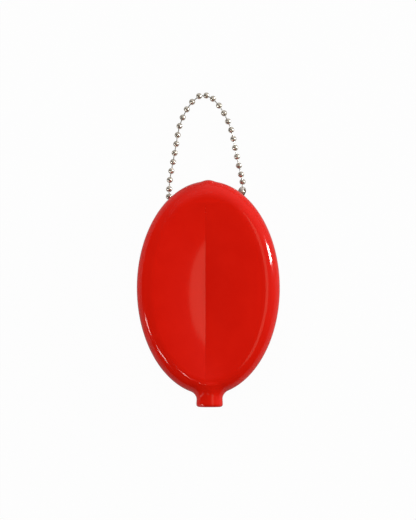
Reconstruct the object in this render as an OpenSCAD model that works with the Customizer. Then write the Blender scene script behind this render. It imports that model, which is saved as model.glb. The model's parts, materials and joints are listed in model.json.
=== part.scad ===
// Squeeze coin purse, lying on its back with its ball chain loop laid out beyond its top.
// X runs across the purse, Y towards the chain and Z up from the table.
// The origin is the middle of the flat patch that the purse rests on.

/* [Pouch] */
// Width of the oval
body_w = 56.5; // [52:0.5:60]
// Length of the oval
body_l = 84.4; // [80:0.4:90]
// Height of the widest line above the table
rim_z = 9; // [8.5:0.25:10.5]
// Height of the front face above the widest line
front_h = 6.5; // [5.5:0.25:8]
// Width of the rounding between the widest line and the front face
rim_r = 6.5; // [5:0.25:7]
// Share of the oval that lies flat on the table
flat_share = 0.2; // [0.16:0.01:0.24]
// Thickness of the moulded wall
wall = 1.5; // [1.2:0.1:1.8]

/* [Mouth] */
// Width of both lips together
mouth_w = 41.4; // [38:0.2:43]
// Length of the slit between the lips
mouth_l = 72; // [68:0.5:74]
// How far the middle of the slit lies towards the neck
mouth_shift = 2.4; // [1.6:0.1:3]
// How far the slit lies left of the middle of the oval
slit_shift = 1.5; // [0:0.1:2]
// Width of the slit at rest
slit_gap = 0.3; // [0.2:0.05:0.6]
// How far the underside of a lip's edge is cut back from the slit
slit_bevel = 0.6; // [0.5:0.05:1]
// Gap between a lip and the rest of the moulding
lip_gap = 0.3; // [0.2:0.05:0.6]
// Depth of the valley along the slit
valley = 2.5; // [0.5:0.1:3.5]

/* [Neck and nub] */
// Outer diameter of the neck
neck_d = 10.3; // [9.5:0.1:11.5]
// Diameter of the bore through the neck
neck_bore = 7.3; // [6:0.1:8]
// How far the neck stands out from the end of the oval
neck_l = 4.8; // [3:0.1:8]
// How far the neck reaches into the oval
neck_root = 3.2; // [2.8:0.1:3.6]
// Radius of the rounded outer edge at the neck's end
neck_edge = 1.1; // [0.5:0.1:1.3]
// How far the neck lies right of the middle
neck_shift = 0.5; // [-1:0.1:1]
// Height of the neck's middle line above the widest line
neck_rise = 0.3; // [0:0.1:0.6]
// Radius of the nub at the top of the oval
nub_r = 3.3; // [2.6:0.1:3.6]
// How far the nub stands out from the end of the oval
nub_h = 1.4; // [0.8:0.1:1.6]

/* [Ball chain] */
// Outer diameter of a bead
bead_d = 2.4; // [2.2:0.05:2.5]
// Wall thickness of a bead
bead_wall = 0.2; // [0.15:0.01:0.22]
// Diameter of the holes in a bead
bead_hole = 0.86; // [0.8:0.02:0.9]
// Distance between beads where the chain is stretched
pitch = 3.62; // [3.5:0.01:3.7]
// Distance between beads where the chain is slack
slack_pitch = 2.95; // [2.85:0.01:3.2]
// Diameter of a link's wire
wire_d = 0.4; // [0.3:0.02:0.44]
// Diameter of the head at each end of a link
head_d = 0.92; // [0.9:0.01:0.96]
// Clearance between a link's head and the inside of its bead
head_gap = 0.05; // [0.04:0.01:0.06]
// Number of beads in the loop that shows
bead_count = 25;
// Clearance around a bead in the holes through the pouch
thread_gap = 0.5; // [0.4:0.05:0.8]

/* [Connector] */
// Outer diameter of the connector
clip_d = 3.1; // [2.9:0.05:3.2]
// Thickness of the connector's sheet
clip_wall = 0.25; // [0.2:0.01:0.27]
// Distance between the two beads that the connector holds
clip_pitch = 3.6; // [3.4:0.05:3.8]
// Direction of the connector, seen from above
clip_angle = 245; // [242:1:248]
// Diameter of the holes in the connector's ends
clip_hole = 1.75; // [1.7:0.05:1.85]
// Width of the window in the connector's side
clip_window = 2; // [1.6:0.1:2.2]
// How far the window's round ends are set in from the connector's round ends
clip_inset = 0.3; // [0.2:0.05:0.5]
// How far the window faces up from the table
clip_turn = 30; // [0:5:60]

/* [Hidden] */
$fn = 48;
red = [0.82, 0.1, 0.04];
nickel = [0.75, 0.74, 0.71];

half_w = body_w / 2;
half_l = body_l / 2;
slit_x = -slit_shift;
mouth_y = -mouth_shift;
lip_reach = mouth_w / 2 - lip_gap;
lip_length = mouth_l / 2 - lip_gap;
floor_z = bead_d / 2;

// The loop's route as it lies, from its left foot to its right foot. Heights on the sheet are
// measured from the top of the oval.
loop_route = [
    [-15.6, -6], [-15.3, 0.3], [-14, 7.5], [-12.7, 14.8], [-11.4, 22], [-8.5, 28.6], [-5.2, 32.7],
    [-2, 34.2], [2, 32.6], [6, 27.4], [9, 20.6], [10.6, 13.4], [12.1, 6.3], [13.6, -0.3], [13.4, -3]
];
// The hidden route from the connector's far bead, in through the right hole, out through the left
// one and back to the loop's left foot. Heights are above the table.
clip_far = [11.8, -7.2];
hidden_route = [
    [10.3, -10.3, 1.4], [8, -12.3, 2.6], [4.9, -12.6, 4.8], [1.5, -11.9, 6], [-2, -11.3, 6.3],
    [-5.2, -11, 5.9], [-8.2, -10.9, 4.6], [-11.3, -10.7, 3], [-13.8, -9, 1.5]
];
// The links of the loop that lie slack
slack_links = [1, 13, 14, 24];

// Steps round the oval and steps along each curve of its section
around = 56;
back_steps = 8;
front_steps = [0, 0.03, 0.1, 0.22, 0.38, 0.6, 1];
lip_rows = 20;
lip_columns = 7;

function two_digits(i) = str(i < 10 ? "0" : "", i);
function bead_name(i) = str("bead_", two_digits(i));
function link_name(i) = str("link_", two_digits(i));

// The pouch's surfaces, as heights over a point of the plan

// 0 in the middle of the oval and 1 on its edge
function share(p) = norm([p.x / half_w, p.y / half_l]);
// Distance from the edge of the oval
function inset(p) =
    (1 - share(p)) * share(p) / max(norm([p.x / half_w / half_w, p.y / half_l / half_l]), 1e-6);
function quarter_round(t) = t >= 1 ? 1 : sqrt(1 - pow(1 - max(t, 0), 2));
function dip(p) =
    let (lengthwise = (p.y - mouth_y) / lip_length, across = abs(p.x - slit_x) / lip_reach)
    valley * max(0, 1 - lengthwise * lengthwise) * pow(max(0, 1 - across), 2);
function front_z(p) = rim_z + front_h * quarter_round(inset(p) / rim_r) - dip(p);
function cavity_front_z(p) =
    rim_z + (front_h - wall) * quarter_round((inset(p) - wall) / (rim_r - wall)) - dip(p);

// Rings of points round the oval, each listed anticlockwise as seen from above

function edge_point(a, w, l) = [w * cos(a), l * sin(a)];
function mouth_point(a) = [slit_x, mouth_y] + edge_point(a, mouth_w / 2, mouth_l / 2);
function between(p, q, t) = p + (q - p) * t;
function angles() = [for (i = [0:around - 1]) 360 * i / around];
// One ring of the domed back, where rise runs from 0 at the table to 90 at the widest line
function back_ring(rise, skin) =
    let (s = flat_share + (1 - flat_share) * sin(rise))
    [for (a = angles())
        let (p = edge_point(a, half_w - skin, half_l - skin) * s)
        [p.x, p.y, rim_z - (rim_z - skin) * cos(rise)]];
function front_ring(t) =
    [for (a = angles())
        let (p = between(edge_point(a, half_w, half_l), mouth_point(a), t))
        [p.x, p.y, front_z(p)]];
function cavity_ring(t) =
    [for (a = angles())
        let (p = between(edge_point(a, half_w - wall, half_l - wall), mouth_point(a), t))
        [p.x, p.y, cavity_front_z(p)]];

function bowl_rings() = concat(
    [for (i = [0:back_steps - 1]) back_ring(90 * i / back_steps, 0)],
    [for (t = front_steps) front_ring(t)],
    [for (i = [len(front_steps) - 1:-1:0]) cavity_ring(front_steps[i])],
    [for (i = [back_steps - 1:-1:0]) back_ring(90 * i / back_steps, wall)]
);

// A closed solid through rings of points, capped at both ends by a fan from its middle point
module ringed_solid(rings, first_middle, last_middle) {
    n = len(rings[0]);
    points = concat([first_middle], [for (ring = rings) each ring], [last_middle]);
    last = len(points) - 1;
    sides = [for (k = [0:len(rings) - 2], i = [0:n - 1])
        let (j = (i + 1) % n, low = 1 + k * n, high = low + n)
        each [[low + i, high + i, high + j], [low + i, high + j, low + j]]];
    first_fan = [for (i = [0:n - 1]) [0, 1 + i, 1 + (i + 1) % n]];
    last_fan = [for (i = [0:n - 1]) [last, last - n + (i + 1) % n, last - n + i]];
    polyhedron(points, concat(sides, first_fan, last_fan));
}

// The bowl of the pouch: back, rim and the border of the front face up to the mouth
module bowl() {
    ringed_solid(bowl_rings(), [0, 0, 0], [0, 0, wall]);
}

neck_z = rim_z + neck_rise;
neck_end = -half_l - neck_l;
module along_neck() {
    translate([neck_shift, neck_end, neck_z]) rotate([-90, 0, 0]) children();
}

module neck() {
    length = neck_l + neck_root;
    along_neck() {
        translate([0, 0, neck_edge]) cylinder(d = neck_d, h = length - neck_edge);
        cylinder(d = neck_d - 2 * neck_edge, h = length);
        translate([0, 0, neck_edge])
            rotate_extrude() translate([neck_d / 2 - neck_edge, 0]) circle(neck_edge);
    }
}

module nub() {
    // The nub starts inside the wall, so that nothing of it reaches into the pouch.
    start = half_l - wall * 0.8;
    intersection() {
        translate([0, half_l + nub_h - nub_r, rim_z + 0.7]) sphere(nub_r);
        translate([-nub_r, start, 0]) cube([2 * nub_r, 2 * nub_r, rim_z + 2 * nub_r]);
    }
}

module pouch_back() {
    color(red) difference() {
        union() {
            bowl();
            neck();
            nub();
        }
        along_neck() translate([0, 0, -1]) cylinder(d = neck_bore, h = neck_l + neck_root + 2);
        thread_hole(right_hole_bead);
        thread_hole(left_hole_bead);
    }
}

// A closed solid between an upper and a lower sheet, both given as rows of points
module sheet_solid(upper, lower) {
    rows = len(upper);
    columns = len(upper[0]);
    size = rows * columns;
    points = concat([for (row = upper) each row], [for (row = lower) each row]);
    function at(r, c) = r * columns + c;
    tops = [for (r = [0:rows - 2], c = [0:columns - 2])
        each [[at(r, c), at(r + 1, c), at(r + 1, c + 1)], [at(r, c), at(r + 1, c + 1), at(r, c + 1)]]];
    bottoms = [for (face = tops) [face[0] + size, face[2] + size, face[1] + size]];
    border = concat(
        [for (c = [0:columns - 2]) at(0, c)],
        [for (r = [0:rows - 2]) at(r, columns - 1)],
        [for (c = [columns - 1:-1:1]) at(rows - 1, c)],
        [for (r = [rows - 1:-1:1]) at(r, 0)]
    );
    walls = [for (i = [0:len(border) - 1])
        let (p = border[i], q = border[(i + 1) % len(border)])
        each [[p, q, q + size], [p, q + size, p + size]]];
    polyhedron(points, concat(tops, bottoms, walls));
}

// One lip, from the slit outwards, with side -1 for the left lip and 1 for the right one
module lip(side) {
    tip = 86;
    stations = [for (r = [0:lip_rows]) -tip + 2 * tip * r / lip_rows];
    shares = [for (c = [0:lip_columns]) c / lip_columns];
    function plan(station, t, cut) =
        [slit_x + side * between(slit_gap / 2 + cut, lip_reach * cos(station), t),
            mouth_y + lip_length * sin(station)];
    upper = [for (station = stations)
        [for (t = shares) let (p = plan(station, t, 0)) [p.x, p.y, front_z(p)]]];
    lower = [for (station = stations)
        [for (t = shares)
            let (cut = min(slit_bevel, lip_reach * cos(station) / 2), p = plan(station, t, cut))
            [p.x, p.y, front_z(p) - wall]]];
    color(red) {
        if (side > 0) sheet_solid(upper, lower);
        else sheet_solid(mirrored(upper), mirrored(lower));
    }
}

// The same rows with their points in the opposite order, which turns the faces over
function mirrored(rows) = [for (row = rows) [for (i = [len(row) - 1:-1:0]) row[i]]];

// The chain's route as a smooth curve through its points

curve_steps = 12;
function curve_point(p0, p1, p2, p3, t) =
    0.5 * (2 * p1 + (p2 - p0) * t + (2 * p0 - 5 * p1 + 4 * p2 - p3) * t * t
        + (3 * p1 - p0 - 3 * p2 + p3) * t * t * t);
function smooth(points) =
    let (n = len(points))
    concat(
        [for (i = [0:n - 2], k = [0:curve_steps - 1])
            curve_point(points[max(i - 1, 0)], points[i], points[i + 1], points[min(i + 2, n - 1)],
                k / curve_steps)],
        [points[n - 1]]);
// The distance run at each point of a curve
function running(points) =
    [for (i = 0, run = 0; i < len(points);
        run = run + (i + 1 < len(points) ? norm(points[i + 1] - points[i]) : 0), i = i + 1) run];
// The point of a curve at a distance along it
function along(points, runs, distance) =
    [for (axis = [0:2]) lookup(distance, [for (i = [0:len(points) - 1]) [runs[i], points[i][axis]]])];

function on_table(p) = [p.x, half_l + p.y, floor_z];
loop_curve = smooth([for (p = loop_route) on_table(p)]);
loop_runs = running(loop_curve);
function link_pitch(i) = len(search(i, slack_links)) > 0 ? slack_pitch : pitch;
bead_runs = [for (i = 1, run = 0; i <= bead_count; run = run + link_pitch(i), i = i + 1) run];
loop_beads = [for (run = bead_runs) along(loop_curve, loop_runs, run)];

// The connector's two beads, on its own middle line
clip_z = clip_d / 2;
clip_line = [cos(clip_angle), sin(clip_angle), 0];
clip_end_bead = [clip_far.x, half_l + clip_far.y, clip_z];
clip_beads = [clip_end_bead - clip_line * clip_pitch, clip_end_bead];

hidden_curve = smooth(concat(
    [clip_end_bead], [for (p = hidden_route) [p.x, half_l + p.y, p.z]], [loop_beads[0]]));
hidden_runs = running(hidden_curve);
hidden_length = hidden_runs[len(hidden_runs) - 1];
hidden_count = round(hidden_length / pitch) - 1;
hidden_beads = [for (i = [1:hidden_count])
    along(hidden_curve, hidden_runs, hidden_length * i / (hidden_count + 1))];

// Every bead of the closed chain in order: the loop, the connector's pair and the hidden ones
chain = concat(loop_beads, clip_beads, hidden_beads);
function bead_at(i) = chain[(i + len(chain)) % len(chain)];
clip_first = bead_count;
hidden_first = clip_first + 2;
right_hole_bead = hidden_first + 1;
left_hole_bead = len(chain) - 3;

function unit(v) = v / norm(v);
// Places its children at p with their Z axis towards q
module aim(p, q) {
    d = q - p;
    translate(p) rotate([0, acos(d.z / norm(d)), atan2(d.y, d.x)]) children();
}

// Cuts the way of the chain through the pouch's wall at one bead
module thread_hole(i) {
    r = bead_d / 2 + thread_gap;
    reach = pitch + bead_d / 2;
    start = bead_at(i) - unit(bead_at(i + 1) - bead_at(i - 1)) * reach;
    aim(start, start + bead_at(i + 1) - bead_at(i - 1)) cylinder(r = r, h = 2 * reach);
}

head_offset = bead_d / 2 - bead_wall - head_gap - head_d / 2;

module bead(i) {
    travel = bead_at(i + 1) - bead_at(i - 1);
    // Turned so that a ball's seam and poles lie clear of its holes
    heading = atan2(travel.y, travel.x) + 90;
    color(nickel) difference() {
        translate(bead_at(i)) rotate([0, 0, heading]) sphere(d = bead_d);
        translate(bead_at(i)) rotate([0, 0, heading]) sphere(d = bead_d - 2 * bead_wall);
        aim(bead_at(i), bead_at(i - 1)) cylinder(d = bead_hole, h = bead_d);
        aim(bead_at(i), bead_at(i + 1)) cylinder(d = bead_hole, h = bead_d);
    }
}

// The point where a link's head lies in a bead
function head_point(i, neighbour) =
    bead_at(i) + unit(bead_at(neighbour) - bead_at(i)) * head_offset;

// The link between bead i and the next one
module link(i) {
    first = head_point(i, i + 1);
    second = head_point(i + 1, i);
    length = norm(second - first);
    color(nickel) aim(first, second) {
        cylinder(d = wire_d, h = length);
        for (z = [0, length]) translate([0, 0, z]) sphere(d = head_d);
    }
}

clip_clear = clip_d / 2 - clip_wall;
// A rod with round ends over the connector's two beads
module clip_rod(r) {
    cylinder(r = r, h = clip_pitch);
    sphere(r);
    translate([0, 0, clip_pitch]) sphere(r);
}

module connector() {
    reach = clip_window / 2;
    far_end = clip_pitch - clip_inset;
    // Turned so that the balls' seams lie opposite the window
    color(nickel) aim(clip_beads[0], clip_beads[1]) rotate([0, 0, -90 - clip_turn]) difference() {
        clip_rod(clip_d / 2);
        clip_rod(clip_clear);
        translate([0, 0, -clip_d]) cylinder(d = clip_hole, h = clip_pitch + 2 * clip_d);
        for (z = [clip_inset, far_end])
            translate([0, 0, z]) rotate([0, -90, 0]) cylinder(r = reach, h = clip_d);
        translate([-clip_d, -reach, clip_inset])
            cube([clip_d, clip_window, far_end - clip_inset]);
    }
}

module connector_beads() {
    for (i = [0:1]) bead(clip_first + i);
}

module inner_beads() {
    for (i = [0:hidden_count - 1]) bead(hidden_first + i);
}

// The links from the connector's first bead through the pouch to the loop's first bead
module inner_links() {
    for (i = [clip_first:len(chain) - 1]) link(i);
}

pouch_back();
lip(-1);  // left_lip
lip(1);  // right_lip
connector();
connector_beads();
inner_beads();
inner_links();
for (i = [1:bead_count]) bead(i - 1);
for (i = [1:bead_count]) link(i - 1);
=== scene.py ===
import json
import math

import bmesh
import bpy
import numpy as np
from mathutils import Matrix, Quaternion, Vector
from mathutils.bvhtree import BVHTree
from mathutils.interpolate import poly_3d_calc

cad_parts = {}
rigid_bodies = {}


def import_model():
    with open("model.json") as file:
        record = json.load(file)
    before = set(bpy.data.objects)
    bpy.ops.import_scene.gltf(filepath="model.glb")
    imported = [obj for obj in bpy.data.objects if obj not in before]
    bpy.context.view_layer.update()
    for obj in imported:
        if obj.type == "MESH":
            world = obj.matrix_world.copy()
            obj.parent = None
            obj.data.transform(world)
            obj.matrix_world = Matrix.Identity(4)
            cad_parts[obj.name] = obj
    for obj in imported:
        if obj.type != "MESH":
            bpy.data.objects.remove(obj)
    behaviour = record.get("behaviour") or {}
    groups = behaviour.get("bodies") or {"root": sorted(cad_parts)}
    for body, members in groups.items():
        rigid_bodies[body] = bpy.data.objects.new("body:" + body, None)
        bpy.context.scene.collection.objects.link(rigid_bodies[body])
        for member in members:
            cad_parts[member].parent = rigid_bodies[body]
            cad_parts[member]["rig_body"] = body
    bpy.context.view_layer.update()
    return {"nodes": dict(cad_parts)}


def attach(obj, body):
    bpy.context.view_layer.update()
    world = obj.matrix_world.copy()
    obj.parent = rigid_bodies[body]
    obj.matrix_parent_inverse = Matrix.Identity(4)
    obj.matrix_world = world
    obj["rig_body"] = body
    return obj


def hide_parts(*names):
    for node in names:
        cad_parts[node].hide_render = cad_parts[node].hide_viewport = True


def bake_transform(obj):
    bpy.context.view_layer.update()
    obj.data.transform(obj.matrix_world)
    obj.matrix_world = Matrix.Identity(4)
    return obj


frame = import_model()

MM = 0.001

# The pouch in millimetres, as in the CAD source
HALF_W = 28.25
HALF_L = 42.2
RIM_Z = 9.0
FRONT_H = 6.5
RIM_R = 6.5
FLAT_SHARE = 0.2
WALL = 1.5
VALLEY = 2.5
VALLEY_Y = -2.4
VALLEY_REACH = 20.4
VALLEY_LENGTH = 35.7
NECK_X = 0.5
NECK_Z = 9.3
NECK_R = 5.15
NECK_END = -47.0
NECK_ROOT = -39.0
NECK_EDGE = 1.1
BORE_R = 3.65
NUB_Z = 9.7

# Where the skin follows the photograph more closely than the CAD source, in millimetres
SLIT_X = -1.1
NUB_R = 2.4
NUB_Y = 39.85

# What the skin adds to the CAD form, in millimetres
NECK_FILLET = 2.2
NECK_FLARE = 0.1
NECK_FLARE_START = -43.5
NECK_FLARE_LENGTH = 2.0
BORE_EDGE = 0.3
NUB_FILLET = 1.6
SLIT_HALF_GAP = 0.01

# The skin's mesh: its columns, the last row shaped by the oval alone, and its search for the surface
NEAR_SLIT = (SLIT_HALF_GAP, 0.4, 0.8, 1.4, 2.2)
NEAR_SLIT_REACH = 9
SIDE_COLUMNS = 30
BACK_COLUMNS = 46
BODY_END = 41.7
ORIGIN_RISE_START = 41.4
FAR_OUT = 60.0
SEARCH_STEPS = 34

# The part of the front that is cut into flaps: a polygon round the slit
MOUTH_SIDES = 20
MOUTH_Y = -3.15
MOUTH_HALF_W = 20.4
MOUTH_HALF_L = 36.65
FRONT_PATCH_RISE = 1.5
CUT_TOLERANCE = 1e-8


def quarter_round(t):
    return np.sqrt(1 - np.square(1 - np.clip(t, 0, 1)))


def share_of(x, y):
    return np.hypot(x / HALF_W, y / HALF_L)


def dip(x, y):
    lengthwise = (y - VALLEY_Y) / VALLEY_LENGTH
    across = np.abs(x - SLIT_X) / VALLEY_REACH
    return VALLEY * np.maximum(0, 1 - lengthwise**2) * np.maximum(0, 1 - across) ** 2


def inset_of(x, y):
    share = share_of(x, y)
    slope = np.hypot(x / HALF_W**2, y / HALF_L**2)
    return (1 - share) * share / np.maximum(slope, 1e-6)


def front_z(x, y):
    return RIM_Z + FRONT_H * quarter_round(inset_of(x, y) / RIM_R) - dip(x, y)


def back_z(x, y):
    q = np.clip((share_of(x, y) - FLAT_SHARE) / (1 - FLAT_SHARE), 0, 1)
    return RIM_Z - RIM_Z * np.sqrt(1 - q**2)


def front_level(x, y, z):
    """Below 0 inside the front half of the oval body and 0 on its surface."""
    q = np.maximum(0, 1 - inset_of(x, y) / RIM_R)
    return np.hypot(q, np.maximum(0, z + dip(x, y) - RIM_Z) / FRONT_H) - 1


def back_level(x, y, z):
    q = np.maximum(0, (share_of(x, y) - FLAT_SHARE) / (1 - FLAT_SHARE))
    return np.hypot(q, np.maximum(0, RIM_Z - z) / RIM_Z) - 1


def gradient(level, x, y, z, step=0.02):
    parts = (
        level(x + step, y, z) - level(x - step, y, z),
        level(x, y + step, z) - level(x, y - step, z),
        level(x, y, z + step) - level(x, y, z - step),
    )
    return np.stack(parts, axis=-1) / (2 * step)


def body_distance(x, y, z):
    found = []
    for level in (front_level, back_level):
        slope = np.linalg.norm(gradient(level, x, y, z), axis=-1)
        found.append(level(x, y, z) / np.maximum(slope, 0.01))
    return np.where(z >= RIM_Z, *found)


def neck_distance(x, y, z):
    flare = NECK_FLARE * np.clip((NECK_FLARE_START - y) / NECK_FLARE_LENGTH, 0, 1) ** 2
    out = np.hypot(x - NECK_X, z - NECK_Z) - (NECK_R + flare - NECK_EDGE)
    down = NECK_END + NECK_EDGE - y
    corner = np.hypot(np.maximum(out, 0), np.maximum(down, 0))
    side = corner + np.minimum(np.maximum(out, down), 0) - NECK_EDGE
    return np.maximum(side, y - NECK_ROOT)


def nub_distance(x, y, z):
    return np.sqrt(x**2 + (y - NUB_Y) ** 2 + (z - NUB_Z) ** 2) - NUB_R


def round_union(a, b, r):
    """Distance to two solids together, with a fillet of radius r between them."""
    inner = np.hypot(np.maximum(r - a, 0), np.maximum(r - b, 0))
    return np.maximum(r, np.minimum(a, b)) - inner


def pouch_distance(x, y, z):
    body = body_distance(x, y, z)
    with_neck = round_union(body, neck_distance(x, y, z), NECK_FILLET)
    return np.where(
        y < 0, with_neck, round_union(body, nub_distance(x, y, z), NUB_FILLET)
    )


def nub_tip():
    """Y of the nub's top, where the fillet round it makes it a little higher than its ball."""
    low, high = HALF_L, HALF_L + 3
    for _ in range(30):
        middle = (low + high) / 2
        if pouch_distance(np.zeros(1), np.full(1, middle), np.full(1, NUB_Z))[0] > 0:
            high = middle
        else:
            low = middle
    return low


def skin_rows():
    """The rows of the skin along Y, from the top of the nub to the neck."""
    body_rows = [HALF_L * math.sin(math.radians(a / 2)) for a in range(179, -181, -2)]
    first = body_rows[0]
    rise = nub_tip() - first
    nub_rows = [first + rise * math.sin(math.radians(a)) for a in range(87, 0, -8)]
    neck_rows = list(np.arange(-HALF_L, NECK_END + NECK_EDGE, -0.4))
    return np.array(nub_rows + body_rows + neck_rows[1:] + [NECK_END + NECK_EDGE])


def section_targets(y):
    """Points round the body's section at y: the front from right to left, then the back."""
    half = HALF_W * math.sqrt(max(0, 1 - (y / HALF_L) ** 2))
    front = []
    for side in (1, -1):
        reach = half - side * SLIT_X
        scale = min(1, reach / NEAR_SLIT_REACH)
        near = [d * scale for d in NEAR_SLIT]
        angles = [math.pi / 2 * k / SIDE_COLUMNS for k in range(1, SIDE_COLUMNS + 1)]
        offsets = near + [near[-1] + (reach - near[-1]) * math.sin(a) for a in angles]
        xs = [SLIT_X + side * d for d in offsets]
        front += reversed(xs) if side > 0 else [SLIT_X] + xs
    xs = np.array(front)
    back_angles = np.pi + np.pi * np.arange(1, BACK_COLUMNS) / BACK_COLUMNS
    back = half * np.cos(back_angles)
    x = np.concatenate([xs, back])
    z = np.concatenate([front_z(xs, y), back_z(back, y)])
    return x, z


def skin_directions(rows):
    """For each row, the unit directions in which its points lie from the row's origin."""
    found = []
    for y in rows:
        x, z = section_targets(max(-BODY_END, min(BODY_END, y)))
        length = np.hypot(x, z - RIM_Z)
        found.append(np.stack([x / length, (z - RIM_Z) / length], axis=-1))
    return np.array(found)


def outer_skin(rows):
    directions = skin_directions(rows)
    rise = np.clip(rows - ORIGIN_RISE_START, 0, 1)
    origin_z = RIM_Z + (NUB_Z - RIM_Z) * rise * rise * (3 - 2 * rise)
    y = np.repeat(rows[:, None], directions.shape[1], axis=1)
    low = np.zeros_like(y)
    high = np.full_like(y, FAR_OUT)
    for _ in range(SEARCH_STEPS):
        middle = (low + high) / 2
        x = directions[..., 0] * middle
        z = origin_z[:, None] + directions[..., 1] * middle
        outside = pouch_distance(x, y, z) > 0
        high = np.where(outside, middle, high)
        low = np.where(outside, low, middle)
    x = directions[..., 0] * low
    z = origin_z[:, None] + directions[..., 1] * low
    return np.stack([x, y, z], axis=-1)


def skin_normals(points):
    slope = gradient(pouch_distance, *np.moveaxis(points, -1, 0))
    return slope / np.linalg.norm(slope, axis=-1, keepdims=True)


def neck_lip(start):
    """Rings round the neck's end, from its outer side to its bore."""
    spread = np.hypot(start[:, 0] - NECK_X, start[:, 2] - NECK_Z)
    across = (start[:, 0] - NECK_X) / spread
    up = (start[:, 2] - NECK_Z) / spread
    outer_r = spread.mean()
    profile = []
    for k in range(1, 8):
        a = math.pi / 2 * k / 7
        profile.append((outer_r - NECK_EDGE * (1 - math.cos(a)), NECK_EDGE * (1 - math.sin(a))))
    for k in range(0, 5):
        a = math.pi / 2 * k / 4
        radius = BORE_R + BORE_EDGE * (1 - math.sin(a))
        profile.append((radius, BORE_EDGE * (1 - math.cos(a))))
    rings = []
    for radius, height in profile:
        y = np.full_like(spread, NECK_END + height)
        rings.append(np.stack([NECK_X + across * radius, y, NECK_Z + up * radius], axis=-1))
    return rings


def pouch_rings():
    outer = outer_skin(skin_rows())
    inner = outer - WALL * skin_normals(outer)
    rings = list(outer) + neck_lip(outer[-1]) + list(inner[::-1])
    top = outer[0].mean(axis=0)
    top[1] = nub_tip()
    return rings, top, top - np.array([0, WALL, 0])


def tube_faces(ring_count, columns):
    """Quads between rings that follow each other, the first point of each ring at 1."""
    faces = []
    for r in range(ring_count - 1):
        low, high = 1 + r * columns, 1 + (r + 1) * columns
        for i in range(columns):
            j = (i + 1) % columns
            faces.append((low + i, low + j, high + j, high + i))
    return faces


def closed_tube(rings, first_pole, last_pole):
    columns = len(rings[0])
    points = [first_pole] + [p for ring in rings for p in ring] + [last_pole]
    faces = tube_faces(len(rings), columns)
    last = len(points) - 1
    for i in range(columns):
        j = (i + 1) % columns
        faces.append((0, 1 + j, 1 + i))
        faces.append((last, last - columns + i, last - columns + j))
    return points, faces


def new_object(name, points, faces, scale=MM):
    mesh = bpy.data.meshes.new(name)
    mesh.from_pydata([tuple(float(c) * scale for c in p) for p in points], [], faces)
    mesh.validate()
    bm = bmesh.new()
    bm.from_mesh(mesh)
    bmesh.ops.recalc_face_normals(bm, faces=bm.faces)
    bm.to_mesh(mesh)
    bm.free()
    mesh.shade_smooth()
    obj = bpy.data.objects.new(name, mesh)
    bpy.context.scene.collection.objects.link(obj)
    return obj


# The polygon's sides and the rays that part its sectors are vertical planes.
def mouth_direction(k):
    a = 2 * math.pi * k / MOUTH_SIDES
    return Vector((math.cos(a), math.sin(a)))


def in_mouth(direction):
    """A direction in shares of the mouth's half sizes as a normal in the row frame."""
    return Vector((direction.x / MOUTH_HALF_W, direction.y / MOUTH_HALF_L, 0))


def side_plane(k):
    direction = mouth_direction(k)
    point = Vector((SLIT_X + MOUTH_HALF_W * direction.x, MOUTH_Y + MOUTH_HALF_L * direction.y, 0))
    return point * MM, in_mouth(direction).normalized()


def ray_plane(k, other):
    """The plane between the sectors k and other, facing away from k."""
    normal = in_mouth(mouth_direction(other) - mouth_direction(k))
    return Vector((SLIT_X, MOUTH_Y, 0)) * MM, normal.normalized()


def slit_plane(side):
    return Vector((SLIT_X + side * SLIT_HALF_GAP, 0, 0)) * MM, Vector((-side, 0, 0))


def cut_away(bm, plane):
    """Removes what lies outside a plane."""
    point, normal = plane
    geom = bm.verts[:] + bm.edges[:] + bm.faces[:]
    bmesh.ops.bisect_plane(
        bm, geom=geom, dist=CUT_TOLERANCE, plane_co=point, plane_no=normal, clear_outer=True
    )


def front_patch(source):
    """The pouch's outer front faces, without the inner ones below them."""
    low = RIM_Z + FRONT_PATCH_RISE
    bm = bmesh.new()
    bm.from_mesh(source)
    bm.normal_update()
    dropped = [f for f in bm.faces if f.calc_center_median().z < low * MM or f.normal.z < 0]
    bmesh.ops.delete(bm, geom=dropped, context="FACES")
    return bm


def as_array(vectors):
    return np.array([tuple(v) for v in vectors])


def mark_sharp_walls(obj, angle):
    obj.data.set_sharp_from_angle(angle=math.radians(angle))


def flap_piece(name, source, side, k):
    """One sector of the front round the slit: its outer face, underside and edges."""
    bm = front_patch(source)
    cut_away(bm, side_plane(k))
    cut_away(bm, slit_plane(side))
    for other in (k - 1, k + 1):
        cut_away(bm, ray_plane(k, other))
    bm.verts.index_update()
    upper = as_array(v.co for v in bm.verts) / MM
    faces = [[v.index for v in f.verts] for f in bm.faces]
    border = [[v.index for v in e.verts] for e in bm.edges if e.is_boundary]
    bm.free()

    lower = upper.copy()
    lower[:, 2] -= WALL / np.clip(skin_normals(upper)[:, 2], 0.8, 1)
    count = len(upper)
    under = [[i + count for i in reversed(f)] for f in faces]
    walls = [[a, b, b + count, a + count] for a, b in border]
    points = np.concatenate([upper, lower])
    obj = new_object(name, points, faces + under + walls)
    mark_sharp_walls(obj, 35)
    return obj


def smooth_like(obj, source):
    """Gives the outer front faces the normals of the uncut pouch, so that no seam shows."""
    bm = bmesh.new()
    bm.from_mesh(source)
    bm.normal_update()
    bm.verts.ensure_lookup_table()
    bm.faces.ensure_lookup_table()
    tree = BVHTree.FromBMesh(bm)
    mesh = obj.data
    normals = [Vector((0, 0, 0))] * len(mesh.loops)
    known = {}
    for face in mesh.polygons:
        if face.normal.z < 0.02 or face.center.z < RIM_Z * MM:
            continue
        _, _, nearest, gap = tree.find_nearest(face.center)
        # Walls and undersides keep their own normals.
        if gap > 0.02 * MM or bm.faces[nearest].normal.dot(face.normal) < 0.9:
            continue
        for loop in face.loop_indices:
            v = mesh.loops[loop].vertex_index
            if v not in known:
                known[v] = normal_near(bm, tree, mesh.vertices[v].co)
            normals[loop] = known[v]
    mesh.normals_split_custom_set(normals)
    bm.free()


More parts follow.
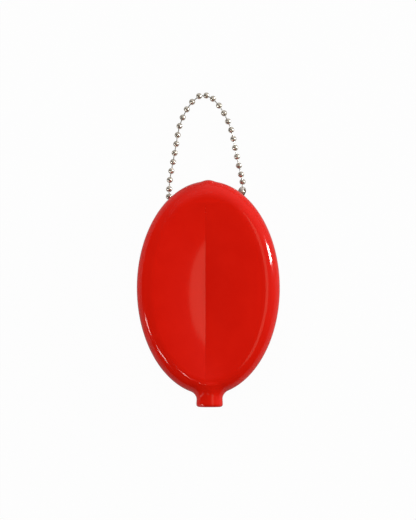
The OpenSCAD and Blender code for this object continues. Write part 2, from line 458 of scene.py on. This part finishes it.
def normal_near(bm, tree, point):
    place, _, index, _ = tree.find_nearest(point)
    corners = bm.faces[index].verts
    weights = poly_3d_calc([v.co for v in corners], place)
    total = Vector((0, 0, 0))
    for corner, weight in zip(corners, weights):
        total += corner.normal * weight
    return total.normalized()


def shell_piece(name, source):
    """The pouch without the polygon, its outer and inner skin joined along the cut."""
    bm = bmesh.new()
    bm.from_mesh(source)
    bm.normal_update()

    def over_mouth(face, margin):
        c = face.calc_center_median() / MM
        x, y = (c.x - SLIT_X) / MOUTH_HALF_W, (c.y - MOUTH_Y) / MOUTH_HALF_L
        reach = max(x * d.x + y * d.y for d in map(mouth_direction, range(MOUTH_SIDES)))
        return c.z > RIM_Z and reach < margin

    for k in range(MOUTH_SIDES):
        faces = [f for f in bm.faces if over_mouth(f, 1.2)]
        edges = {e for f in faces for e in f.edges}
        verts = {v for f in faces for v in f.verts}
        point, normal = side_plane(k)
        bmesh.ops.bisect_plane(
            bm,
            geom=list(verts) + list(edges) + faces,
            dist=CUT_TOLERANCE,
            plane_co=point,
            plane_no=normal,
        )
    dropped = [f for f in bm.faces if over_mouth(f, 1.0)]
    bmesh.ops.delete(bm, geom=dropped, context="FACES")
    border = [e for e in bm.edges if e.is_boundary]
    bmesh.ops.bridge_loops(bm, edges=border)
    bmesh.ops.recalc_face_normals(bm, faces=bm.faces)
    mesh = bpy.data.meshes.new(name)
    bm.to_mesh(mesh)
    bm.free()
    mesh.shade_smooth()
    obj = bpy.data.objects.new(name, mesh)
    bpy.context.scene.collection.objects.link(obj)
    return obj


# The chain, in millimetres. Its beads lie where the frame's do.
BEAD_R = 1.2
BEAD_INNER_R = 1.0
CHAIN_LOOP = 25


def ball_centres(node):
    """The centre of each bead in a CAD node, in millimetres."""
    bm = bmesh.new()
    bm.from_mesh(frame["nodes"][node].data)
    bmesh.ops.remove_doubles(bm, verts=bm.verts, dist=1e-6)
    left = set(bm.verts)
    centres = []
    while left:
        group, waiting = set(), [left.pop()]
        while waiting:
            v = waiting.pop()
            group.add(v)
            for e in v.link_edges:
                other = e.other_vert(v)
                if other in left:
                    left.remove(other)
                    waiting.append(other)
        points = as_array(v.co for v in group) / MM
        centre = (points.min(0) + points.max(0)) / 2
        for _ in range(6):
            away = np.linalg.norm(points - centre, axis=1)
            outer = points[away > (BEAD_R + BEAD_INNER_R) / 2]
            rows = np.concatenate([2 * outer, np.ones((len(outer), 1))], axis=1)
            centre = np.linalg.lstsq(rows, (outer**2).sum(1), rcond=None)[0][:3]
        centres.append(Vector(centre))
    bm.free()
    return centres


def chain_order(start, others):
    """The given centres in the order in which the chain reaches them from start."""
    found, left, here = [], list(others), start
    while left:
        here = min(left, key=lambda c: (c - here).length)
        left.remove(here)
        found.append(here)
    return found


def axis_frame(direction):
    """Two unit vectors square to direction and to each other, and direction itself."""
    d = direction.normalized()
    side = d.cross(Vector((0, 0, 1)))
    if side.length < 0.1:
        side = d.cross(Vector((1, 0, 0)))
    side.normalize()
    return side, d.cross(side), d


def lathe_rings(profile, origin, direction, angles, sink=None):
    """Rings of a turned shape: profile lists (radius, height) along direction from origin."""
    u, v, d = axis_frame(direction)
    rings = []
    for radius, height in profile:
        ring = []
        for n, a in enumerate(angles):
            r = radius - (sink[n] if sink else 0)
            ring.append(origin + u * (r * math.cos(a)) + v * (r * math.sin(a)) + d * height)
        rings.append(ring)
    return rings


def looped_faces(ring_count, columns):
    """Quads of a closed ring of rings, the first point at 0."""
    faces = []
    for r in range(ring_count):
        low, high = r * columns, (r + 1) % ring_count * columns
        for i in range(columns):
            j = (i + 1) % columns
            faces.append((low + i, low + j, high + j, high + i))
    return faces


BEAD_STEPS = 16
BEAD_COLUMNS = 30
SEAM_HALF_ANGLE = 0.05
SEAM_DEPTH = 0.045
HOLE_R = 0.45
HOLE_LIP = 0.07
WIRE_ROOM = 0.26
LAST_BEAD_ROOM = 0.5


def bead_piece(name, centre, before, after, room=WIRE_ROOM):
    """A ball rolled from sheet: a seam along it and a turned-in hole at each end."""
    entry, way_out = (centre - before).normalized(), (after - centre).normalized()
    bend = entry.angle(way_out) / 2
    hole = max(HOLE_R, BEAD_R * math.sin(bend) + room)
    opening = math.asin(hole / BEAD_R)
    lip = HOLE_LIP
    profile = []
    for k in range(BEAD_STEPS + 1):
        a = opening + (math.pi - 2 * opening) * k / BEAD_STEPS
        profile.append((BEAD_R * math.sin(a), -BEAD_R * math.cos(a)))
    edge = profile[-1][1]
    turned_in = [(hole - lip * 0.7, edge - lip * 0.1), (hole - lip, edge - lip)]
    profile += turned_in
    inner_opening = math.asin(min(0.9, (hole - lip * 0.4) / BEAD_INNER_R))
    steps = BEAD_STEPS // 2
    for k in range(steps + 1):
        a = math.pi - inner_opening - (math.pi - 2 * inner_opening) * k / steps
        profile.append((BEAD_INNER_R * math.sin(a), -BEAD_INNER_R * math.cos(a)))
    profile += [(r, -h) for r, h in reversed(turned_in)]
    spread = [
        SEAM_HALF_ANGLE + (2 * math.pi - 2 * SEAM_HALF_ANGLE) * k / (BEAD_COLUMNS - 2)
        for k in range(BEAD_COLUMNS - 1)
    ]
    angles = [0] + spread
    sink = [SEAM_DEPTH] + [0] * (BEAD_COLUMNS - 1)
    rings = lathe_rings(profile, centre, entry + way_out, angles, sink)
    points = [p for ring in rings for p in ring]
    return new_object(name, points, looped_faces(len(rings), BEAD_COLUMNS))


CLIP_R = 1.55
CLIP_INNER_R = 1.3
CLIP_PITCH = 3.6
CLIP_HOLE_R = 0.5
CLIP_WINDOW_HALF = 1.0
CLIP_SLOT_HALF = 0.3
CLIP_TURN = 48
CLIP_END_STRETCH = 1.28
CLIP_COLUMNS = 40
WINDOW_START = 1.1
WINDOW_EASE = 1.5


def clip_piece(name, first, second):
    """The connector: a rolled sheet with domed ends, open along one side."""
    d = (second - first).normalized()
    across = d.cross(Vector((0, 0, 1))).normalized()
    turn = math.radians(CLIP_TURN)
    # The open side faces away from the loop and a little up from the table.
    if across.x < 0:
        across = -across
    open_way = across * math.cos(turn) + Vector((0, 0, 1)) * math.sin(turn)
    other = d.cross(open_way)

    def profile(r):
        start = math.asin(CLIP_HOLE_R / r)
        ends = [start + (math.pi / 2 - start) * k / 8 for k in range(9)]
        near = [(r * math.sin(a), -r * math.cos(a) * CLIP_END_STRETCH) for a in ends]
        middle = [(r, CLIP_PITCH * k / 10) for k in range(1, 10)]
        return near + middle + [(radius, CLIP_PITCH - h) for radius, h in reversed(near)]

    def half_gap(radius, height):
        from_end = min(height, CLIP_PITCH - height)
        open_share = min(max((from_end + WINDOW_START) / WINDOW_EASE, 0), 1)
        round_share = math.sqrt(1 - (1 - open_share) ** 2)
        wide = CLIP_SLOT_HALF + (CLIP_WINDOW_HALF - CLIP_SLOT_HALF) * round_share
        return math.asin(min(0.97, wide / max(radius, 1e-6)))

    sheets = []
    for r in (CLIP_R, CLIP_INNER_R):
        rows = []
        for radius, height in profile(r):
            gap = half_gap(radius, height)
            row = []
            for n in range(CLIP_COLUMNS + 1):
                a = gap + (2 * math.pi - 2 * gap) * n / CLIP_COLUMNS
                spoke = open_way * math.cos(a) + other * math.sin(a)
                row.append(first + spoke * radius + d * height)
            rows.append(row)
        sheets.append(rows)
    rings = [outer + inner[::-1] for outer, inner in zip(*sheets)]
    columns = len(rings[0])
    faces = tube_faces(len(rings), columns)
    faces = [tuple(i - 1 for i in f) for f in faces]
    last = (len(rings) - 1) * columns
    half = columns // 2
    for i in range(half - 1):
        mirrored = columns - 1 - i
        faces.append((i, i + 1, mirrored - 1, mirrored))
        faces.append((last + i + 1, last + i, last + mirrored, last + mirrored - 1))
    obj = new_object(name, [p for ring in rings for p in ring], faces)
    mark_sharp_walls(obj, 50)
    bevel = obj.modifiers.new("rolled_edges", "BEVEL")
    bevel.width = 0.06 * MM
    bevel.segments = 2
    bevel.angle_limit = math.radians(50)
    return obj


# Materials. Most of a noise texture's values lie between these two.
NOISE_LOW = 0.3
NOISE_HIGH = 0.7


def node_material(name):
    material = bpy.data.materials.new(name)
    material.use_nodes = True
    tree = material.node_tree
    return material, tree, tree.nodes["Principled BSDF"]


def add_node(tree, kind, **inputs):
    node = tree.nodes.new(kind)
    for key, value in inputs.items():
        if key in node.inputs:
            node.inputs[key].default_value = value
        else:
            setattr(node, key, value)
    return node


def object_noise(tree, scale, detail, roughness=0.5):
    place = add_node(tree, "ShaderNodeTexCoord")
    noise = add_node(tree, "ShaderNodeTexNoise", Scale=scale, Detail=detail, Roughness=roughness)
    tree.links.new(place.outputs["Object"], noise.inputs["Vector"])
    return noise


def ramp_between(tree, source, low, high):
    ramp = tree.nodes.new("ShaderNodeValToRGB")
    ramp.color_ramp.elements[0].position = NOISE_LOW
    ramp.color_ramp.elements[0].color = low
    ramp.color_ramp.elements[1].position = NOISE_HIGH
    ramp.color_ramp.elements[1].color = high
    tree.links.new(source, ramp.inputs["Fac"])
    return ramp


def value_between(tree, source, low, high):
    spread = add_node(tree, "ShaderNodeMapRange")
    spread.inputs["From Min"].default_value = NOISE_LOW
    spread.inputs["From Max"].default_value = NOISE_HIGH
    spread.inputs["To Min"].default_value = low
    spread.inputs["To Max"].default_value = high
    tree.links.new(source, spread.inputs["Value"])
    return spread


def bump_from(tree, shader, source, distance):
    bump = add_node(tree, "ShaderNodeBump", Distance=distance, Strength=1.0)
    tree.links.new(source, bump.inputs["Height"])
    tree.links.new(bump.outputs["Normal"], shader.inputs["Normal"])


def linear(r, g, b):
    """A display colour, 0 to 255 a channel, as a linear colour."""
    found = []
    for c in (r / 255, g / 255, b / 255):
        found.append(c / 12.92 if c <= 0.04045 else ((c + 0.055) / 1.055) ** 2.4)
    return (*found, 1.0)


def vinyl_material():
    material, tree, shader = node_material("red_vinyl")
    cloud = object_noise(tree, 110.0, 3.0, 0.55)
    colour = ramp_between(tree, cloud.outputs["Fac"], linear(213, 19, 3), linear(218, 22, 5))
    tree.links.new(colour.outputs["Color"], shader.inputs["Base Color"])
    fine = object_noise(tree, 900.0, 2.0)
    rough = value_between(tree, fine.outputs["Fac"], 0.07, 0.12)
    tree.links.new(rough.outputs["Result"], shader.inputs["Roughness"])
    shader.inputs["IOR"].default_value = 1.5
    shader.inputs["Specular IOR Level"].default_value = 0.3
    ripple = object_noise(tree, 240.0, 2.0)
    bump_from(tree, shader, ripple.outputs["Fac"], 0.000005)
    return material


def nickel_material(name, bright, dull, low_roughness, high_roughness):
    material, tree, shader = node_material(name)
    stain = object_noise(tree, 1400.0, 4.0, 0.6)
    colour = ramp_between(tree, stain.outputs["Fac"], dull, bright)
    tree.links.new(colour.outputs["Color"], shader.inputs["Base Color"])
    shader.inputs["Metallic"].default_value = 0.9
    rough = value_between(tree, stain.outputs["Fac"], low_roughness, high_roughness)
    tree.links.new(rough.outputs["Result"], shader.inputs["Roughness"])
    scratch = object_noise(tree, 5200.0, 3.0, 0.7)
    bump_from(tree, shader, scratch.outputs["Fac"], 0.000004)
    return material


def finish_piece(obj, material, body, slot, *nodes):
    obj.data.materials.clear()
    obj.data.materials.append(material)
    if body:
        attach(obj, body)
    if nodes:
        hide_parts(*nodes)


def body_of_node(node):
    return frame["nodes"][node]["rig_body"]


vinyl = vinyl_material()
bead_nickel = nickel_material(
    "bead_nickel", linear(238, 231, 218), linear(214, 204, 190), 0.18, 0.32
)
wire_nickel = nickel_material(
    "wire_nickel", linear(206, 202, 194), linear(176, 170, 160), 0.22, 0.36
)
clip_nickel = nickel_material(
    "clip_nickel", linear(244, 240, 232), linear(222, 216, 206), 0.32, 0.46
)


# The pouch
rings, top_pole, inner_pole = pouch_rings()
whole = new_object("whole_pouch", *closed_tube(rings, top_pole, inner_pole))
shell = shell_piece("pouch_skin", whole.data)

beads = [ball_centres(f"bead_{i:02d}")[0] for i in range(1, CHAIN_LOOP + 1)]
clip_beads = chain_order(beads[-1], ball_centres("connector_beads"))
inner_beads = chain_order(clip_beads[-1], ball_centres("inner_beads"))
chain = beads + clip_beads + inner_beads

THREAD_HOLE_R = 1.7
THREAD_REACH = 4.8
RIGHT_HOLE_BEAD = CHAIN_LOOP + 3
LEFT_HOLE_BEAD = len(chain) - 3


def chain_at(i):
    return chain[i % len(chain)]


def cut_thread_hole(obj, i):
    """Cuts the way of the chain through the pouch's back at one bead."""
    way = (chain_at(i + 1) - chain_at(i - 1)).normalized()
    angles = [2 * math.pi * k / 40 for k in range(40)]
    profile = [(THREAD_HOLE_R, -THREAD_REACH), (THREAD_HOLE_R, THREAD_REACH)]
    drill_rings = lathe_rings(profile, chain_at(i), way, angles)
    ends = [chain_at(i) - way * THREAD_REACH, chain_at(i) + way * THREAD_REACH]
    drill = new_object(f"drill_{i}", *closed_tube(drill_rings, *ends))
    cut = obj.modifiers.new("hole", "BOOLEAN")
    cut.operation = "DIFFERENCE"
    cut.solver = "EXACT"
    cut.object = drill
    graph = bpy.context.evaluated_depsgraph_get()
    made = bpy.data.meshes.new_from_object(obj.evaluated_get(graph))
    obj.modifiers.clear()
    obj.data = made
    bpy.data.objects.remove(drill)


for hole_bead in (RIGHT_HOLE_BEAD, LEFT_HOLE_BEAD):
    cut_thread_hole(shell, hole_bead)
mark_sharp_walls(shell, 40)
smooth_like(shell, whole.data)
finish_piece(shell, vinyl, "pouch", "vinyl", "pouch_back")

quarter = MOUTH_SIDES // 4
for side, word, middle in ((-1, "left", 2 * quarter), (1, "right", 0)):
    lip = f"{word}_lip"
    for number, k in enumerate(range(middle - quarter, middle + quarter + 1), 1):
        flap = flap_piece(f"{word}_flap_{number}", whole.data, side, k)
        smooth_like(flap, whole.data)
        nodes = [lip] if k == middle else []
        finish_piece(flap, vinyl, None, "vinyl", *nodes)
        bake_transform(flap)
bpy.data.objects.remove(whole)

# The chain
bead_homes = [(f"bead_{i:02d}", f"bead_{i:02d}") for i in range(1, CHAIN_LOOP + 1)]
bead_homes += [(f"clip_bead_{i}", "connector_beads") for i in (1, 2)]
bead_homes += [(f"inner_bead_{i}", "inner_beads") for i in range(1, len(inner_beads) + 1)]
for i, (piece_name, node) in enumerate(bead_homes):
    # The last bead of the loop turns most against its wire when the loop lifts.
    room = LAST_BEAD_ROOM if i == CHAIN_LOOP - 1 else WIRE_ROOM
    neighbours = chain_at(i - 1), chain_at(i + 1)
    ball = bead_piece(f"ball_{piece_name}", chain_at(i), *neighbours, room)
    finish_piece(ball, bead_nickel, body_of_node(node), "nickel", node)

clip = clip_piece("clip_sleeve", *clip_beads)
finish_piece(clip, clip_nickel, "pouch", "nickel", "connector")

for name, node in frame["nodes"].items():
    if name.startswith("link_") or name == "inner_links":
        node.data.materials.clear()
        node.data.materials.append(wire_nickel)

# Floor, light and camera
FLOOR_HALF = 3.0
FLOOR_DROP = 0.00004
FLOOR_PAINT = (0.5, 0.5, 0.5, 1)
FLOOR_WHITENESS = 0.97


def floor_piece():
    corners = [(-FLOOR_HALF, -FLOOR_HALF), (FLOOR_HALF, -FLOOR_HALF)]
    corners += [(FLOOR_HALF, FLOOR_HALF), (-FLOOR_HALF, FLOOR_HALF)]
    points = [(x, y, -FLOOR_DROP) for x, y in corners]
    floor = new_object("floor", points, [(0, 1, 2, 3)], scale=1)
    material = bpy.data.materials.new("floor_white")
    material.use_nodes = True
    tree = material.node_tree
    tree.nodes.clear()
    paint = add_node(tree, "ShaderNodeBsdfDiffuse", Color=FLOOR_PAINT)
    glow = add_node(tree, "ShaderNodeEmission", Color=(1, 1, 1, 1), Strength=1.0)
    path = add_node(tree, "ShaderNodeLightPath")
    share = add_node(tree, "ShaderNodeMath", operation="MULTIPLY")
    share.inputs[1].default_value = FLOOR_WHITENESS
    mix = add_node(tree, "ShaderNodeMixShader")
    out = add_node(tree, "ShaderNodeOutputMaterial")
    tree.links.new(path.outputs["Is Camera Ray"], share.inputs[0])
    tree.links.new(share.outputs[0], mix.inputs["Fac"])
    tree.links.new(paint.outputs["BSDF"], mix.inputs[1])
    tree.links.new(glow.outputs["Emission"], mix.inputs[2])
    tree.links.new(mix.outputs["Shader"], out.inputs["Surface"])
    floor.data.materials.append(material)


# Brightness of the surroundings from the dim side over the zenith to the bright side
BRIGHT_SIDE = (0.42, 0.91, 0)
SKY_STOPS = ((0.0, 0.02), (0.5, 0.07), (0.75, 0.36), (1.0, 0.85))
SKY_LIGHT = 0.25


def set_world():
    world = bpy.data.worlds.new("studio")
    bpy.context.scene.world = world
    world.use_nodes = True
    tree = world.node_tree
    tree.nodes.clear()
    place = add_node(tree, "ShaderNodeTexCoord")
    toward = add_node(tree, "ShaderNodeVectorMath", operation="DOT_PRODUCT")
    toward.inputs[1].default_value = BRIGHT_SIDE
    tree.links.new(place.outputs["Generated"], toward.inputs[0])
    share = add_node(tree, "ShaderNodeMapRange")
    share.inputs["From Min"].default_value = -1
    tree.links.new(toward.outputs["Value"], share.inputs["Value"])
    ramp = tree.nodes.new("ShaderNodeValToRGB")
    stops = ramp.color_ramp.elements
    while len(stops) < len(SKY_STOPS):
        stops.new(0.5)
    for stop, (place_on_ramp, level) in zip(stops, SKY_STOPS):
        stop.position = place_on_ramp
        stop.color = (level, level, level, 1)
    tree.links.new(share.outputs["Result"], ramp.inputs["Fac"])
    path = add_node(tree, "ShaderNodeLightPath")
    mirrored = add_node(tree, "ShaderNodeMath", operation="MAXIMUM")
    tree.links.new(path.outputs["Is Glossy Ray"], mirrored.inputs[0])
    tree.links.new(path.outputs["Is Transmission Ray"], mirrored.inputs[1])
    soft = add_node(tree, "ShaderNodeBackground", Color=(1, 1, 1, 1), Strength=SKY_LIGHT)
    seen = add_node(tree, "ShaderNodeBackground", Color=(1, 1, 1, 1), Strength=1.0)
    graded = add_node(tree, "ShaderNodeBackground", Strength=1.0)
    tree.links.new(ramp.outputs["Color"], graded.inputs["Color"])
    first = add_node(tree, "ShaderNodeMixShader")
    second = add_node(tree, "ShaderNodeMixShader")
    out = add_node(tree, "ShaderNodeOutputWorld")
    tree.links.new(mirrored.outputs[0], first.inputs["Fac"])
    tree.links.new(soft.outputs[0], first.inputs[1])
    tree.links.new(graded.outputs[0], first.inputs[2])
    tree.links.new(path.outputs["Is Camera Ray"], second.inputs["Fac"])
    tree.links.new(first.outputs[0], second.inputs[1])
    tree.links.new(seen.outputs[0], second.inputs[2])
    tree.links.new(second.outputs[0], out.inputs["Surface"])


def panel(name, azimuth, height, distance, size, brightness, roll=0, colour=(1, 1, 1)):
    """An area light that faces the purse. Angles in degrees, sizes in metres."""
    a, e = math.radians(azimuth), math.radians(height)
    way = Vector((math.cos(a) * math.cos(e), math.sin(a) * math.cos(e), math.sin(e)))
    data = bpy.data.lights.new(name, "AREA")
    data.shape = "RECTANGLE"
    data.size, data.size_y = size
    data.color = colour
    data.energy = brightness * math.pi * size[0] * size[1]
    light = bpy.data.objects.new(name, data)
    light.location = way * distance + Vector((0, 0, RIM_Z * MM))
    turn = way.to_track_quat("Z", "Y") @ Quaternion((0, 0, 1), math.radians(roll))
    light.rotation_euler = turn.to_euler()
    light.visible_camera = False
    bpy.context.scene.collection.objects.link(light)
    return light


floor_piece()
set_world()
# The key and the strips make the white highlights near the rim.
panel("key", 14, 14, 1.0, (0.13, 0.27), 66)
# Four panels in one place, each larger, give the pale patch left of the slit its soft edge.
for spread in (0.06, 0.14, 0.22, 0.3):
    size = (0.42 + spread, spread)
    panel(f"softbox_{spread:.2f}", -3, 63, 1.0, size, 1.25, colour=(1, 0.8, 0.55))
panel("left_strip_1", 195.5, 13, 1.0, (0.2, 0.05), 26, roll=49)
panel("left_strip_2", 213, 31, 1.0, (0.26, 0.045), 26, roll=52)
panel("left_strip_3", 238, 64.5, 1.0, (0.07, 0.04), 32, roll=59)
# The fill only lights. It would show as a pale square in the gloss.
fill = panel("fill", 115, 42, 1.2, (0.9, 0.9), 3.0)
fill.visible_glossy = False

# The height that the photograph spans at the purse, and the point at its middle
PHOTO_HEIGHT = 0.2054
PHOTO_CENTRE = Vector((-0.00012, 0.01106, 0.009))
CAMERA_DISTANCE = 2.5
SENSOR = 36.0

camera_data = bpy.data.cameras.new("camera")
camera_data.sensor_width = SENSOR
camera_data.lens = SENSOR * CAMERA_DISTANCE / PHOTO_HEIGHT
camera_data.clip_start = 0.05
camera = bpy.data.objects.new("camera", camera_data)
camera.location = PHOTO_CENTRE + Vector((0, 0, CAMERA_DISTANCE))
bpy.context.scene.collection.objects.link(camera)
bpy.context.scene.camera = camera
bpy.context.scene.view_settings.view_transform = "Standard"
